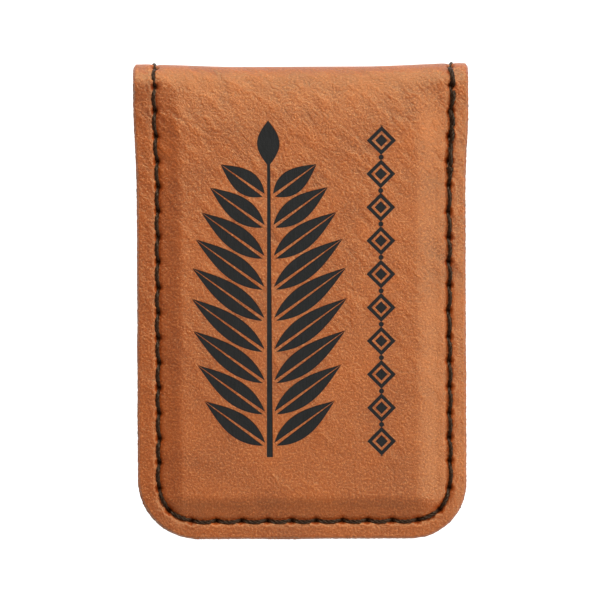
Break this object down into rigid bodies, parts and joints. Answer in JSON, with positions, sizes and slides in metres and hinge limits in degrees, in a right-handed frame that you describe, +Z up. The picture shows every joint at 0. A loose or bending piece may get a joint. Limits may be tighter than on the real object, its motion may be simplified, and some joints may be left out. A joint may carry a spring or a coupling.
{
  "type": "magnetic money clip",
  "caption": "Folded leatherette money clip: two padded, stitched legs held shut by hidden magnets, which open flat about a living hinge.",
  "frame": {"origin": "centre of the footprint of the closed clip, on the table that its back leg lies on", "axes": "+X across the strip, +Y from the free ends towards the fold, +Z up from the back leg to the front leg"},
  "size_m": [0.0444, 0.0636, 0.0074],
  "materials": {
    "cover_leatherette": "tan leatherette with a fine grain, black where it is laser engraved and inside its cut edge",
    "lining_leatherette": "tan leatherette, plain",
    "board": "grey greyboard, hidden inside the legs",
    "magnet": "nickel plated flat neodymium magnet, hidden inside the legs",
    "thread": "dark brown twisted polyester sewing thread"
  },
  "bodies": {
    "back_leg": {"back_cover": "cover_leatherette", "back_lining": "lining_leatherette", "back_board": "board", "back_magnet": "magnet", "back_needle_thread": "thread", "back_bobbin_thread": "thread"},
    "back_link": {"back_fold_cover": "cover_leatherette", "back_fold_lining": "lining_leatherette", "back_fold_needle_thread_left": "thread", "back_fold_needle_thread_right": "thread", "back_fold_bobbin_thread_left": "thread", "back_fold_bobbin_thread_right": "thread"},
    "front_link": {"front_fold_cover": "cover_leatherette", "front_fold_lining": "lining_leatherette", "front_fold_needle_thread_left": "thread", "front_fold_needle_thread_right": "thread", "front_fold_bobbin_thread_left": "thread", "front_fold_bobbin_thread_right": "thread"},
    "front_leg": {"front_cover": "cover_leatherette", "front_lining": "lining_leatherette", "front_board": "board", "front_magnet": "magnet", "front_needle_thread": "thread", "front_bobbin_thread": "thread"}
  },
  "joints": [
    {"name": "fold_back", "type": "hinge", "parent": "back_leg", "child": "back_link", "pos_m": [0, 0.03023, 0.0008], "axis": [-1, 0, 0], "range_deg": [0, 60], "stiffness_Nm_per_rad": 0.001},
    {"name": "fold_middle", "type": "hinge", "parent": "back_link", "child": "front_link", "pos_m": [0, 0.0319, 0.0037], "axis": [-1, 0, 0], "range_deg": [0, 60], "stiffness_Nm_per_rad": 0.001},
    {"name": "fold_front", "type": "hinge", "parent": "front_link", "child": "front_leg", "pos_m": [0, 0.03023, 0.0066], "axis": [-1, 0, 0], "range_deg": [0, 60], "stiffness_Nm_per_rad": 0.001}
  ],
  "couplings": [
    {"joint": "fold_back", "follows": "fold_middle", "ratio": 1},
    {"joint": "fold_front", "follows": "fold_middle", "ratio": 1}
  ]
}
